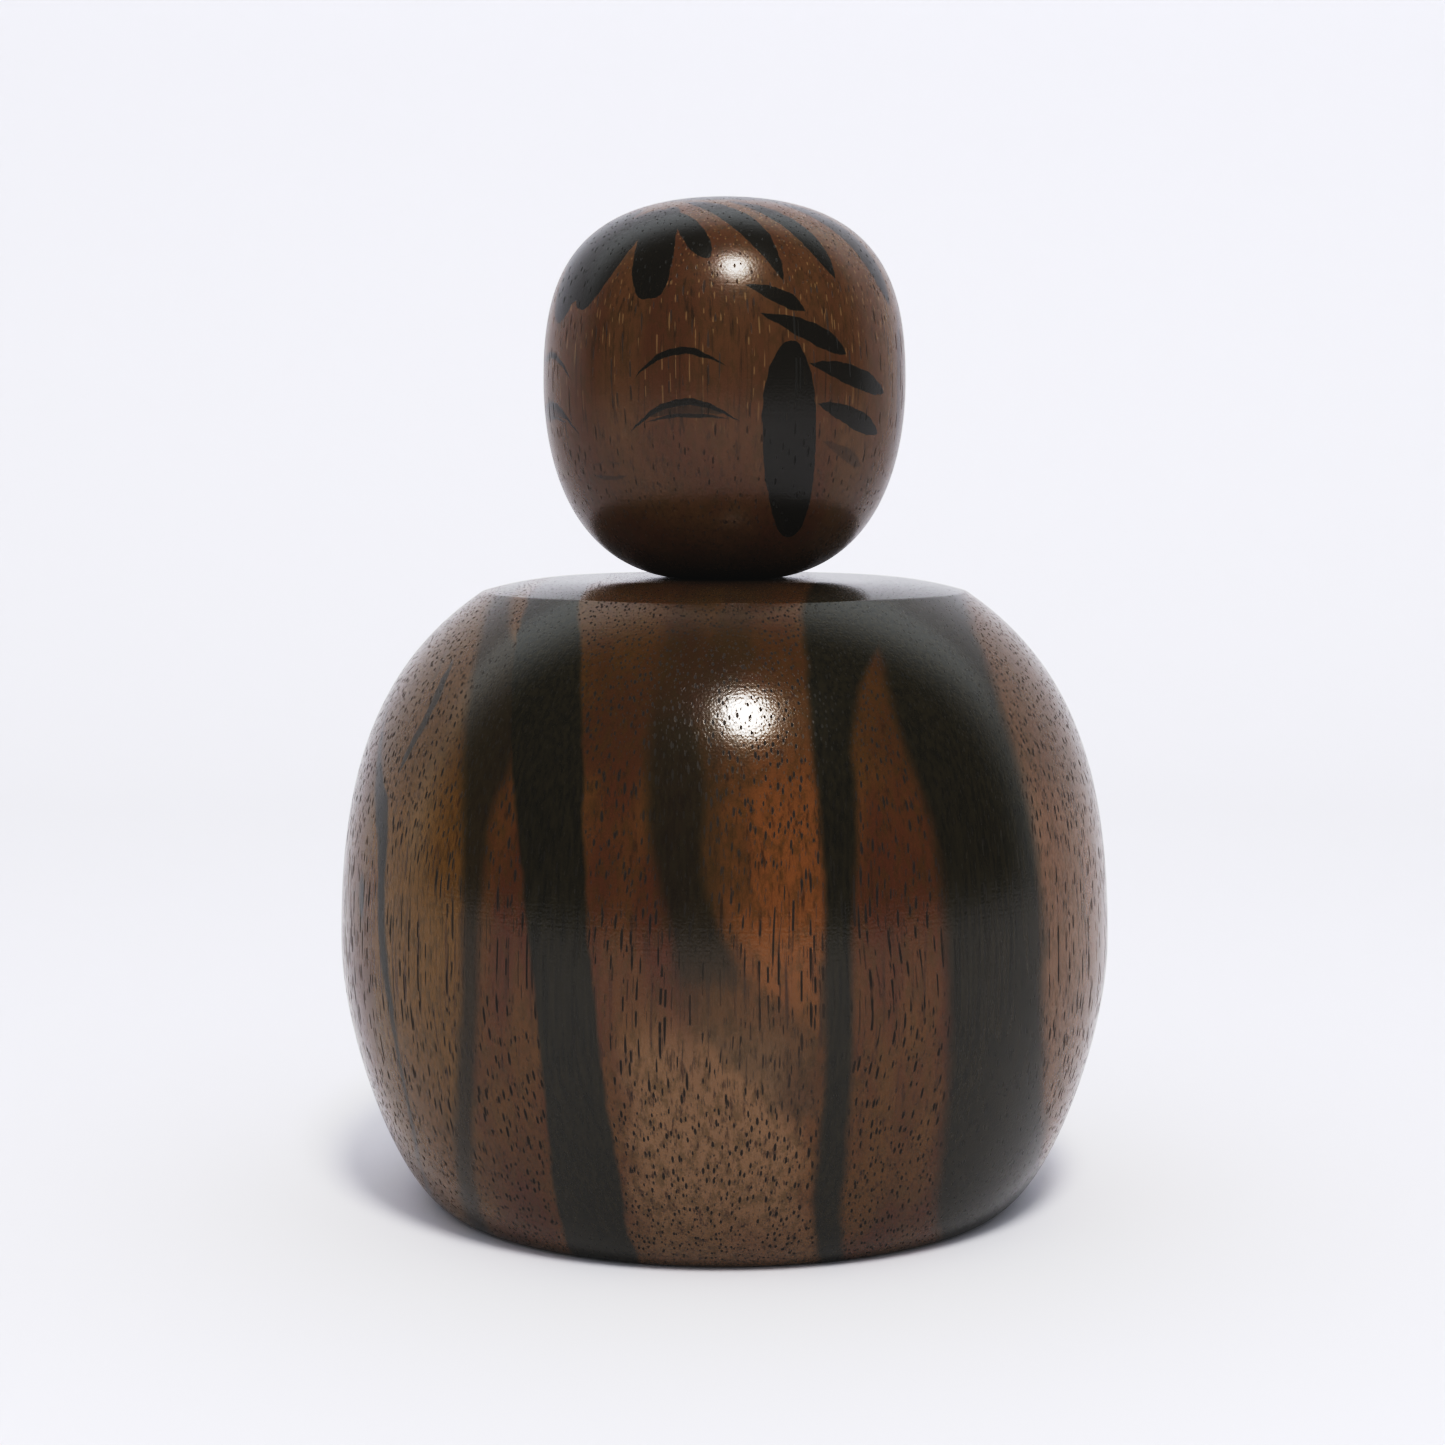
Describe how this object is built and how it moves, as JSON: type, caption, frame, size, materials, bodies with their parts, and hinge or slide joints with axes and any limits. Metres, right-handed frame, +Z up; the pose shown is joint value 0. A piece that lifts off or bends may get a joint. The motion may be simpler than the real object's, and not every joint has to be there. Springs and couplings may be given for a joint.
{
  "type": "kokeshi doll",
  "caption": "Squat turned wooden doll: a round painted head on a neck peg that turns in a flat-topped, barrel-shaped body.",
  "frame": {"origin": "middle of the foot, on the surface that the doll stands on", "axes": "+Z up along the axis that both pieces were turned on; -Y is where the face looks at rest"},
  "size_m": [0.0932, 0.0932, 0.1209],
  "materials": {
    "body_wood": "dark streaked hardwood under clear polished lacquer",
    "head_wood": "same hardwood, painted in black ink under clear polished lacquer"
  },
  "bodies": {
    "body": {"body": "body_wood"},
    "head": {"head": "head_wood"}
  },
  "joints": [
    {"name": "head_turn", "type": "hinge", "parent": "body", "child": "head", "pos_m": [0, 0, 0.07555], "axis": [0, 0, 1], "continuous": true}
  ]
}
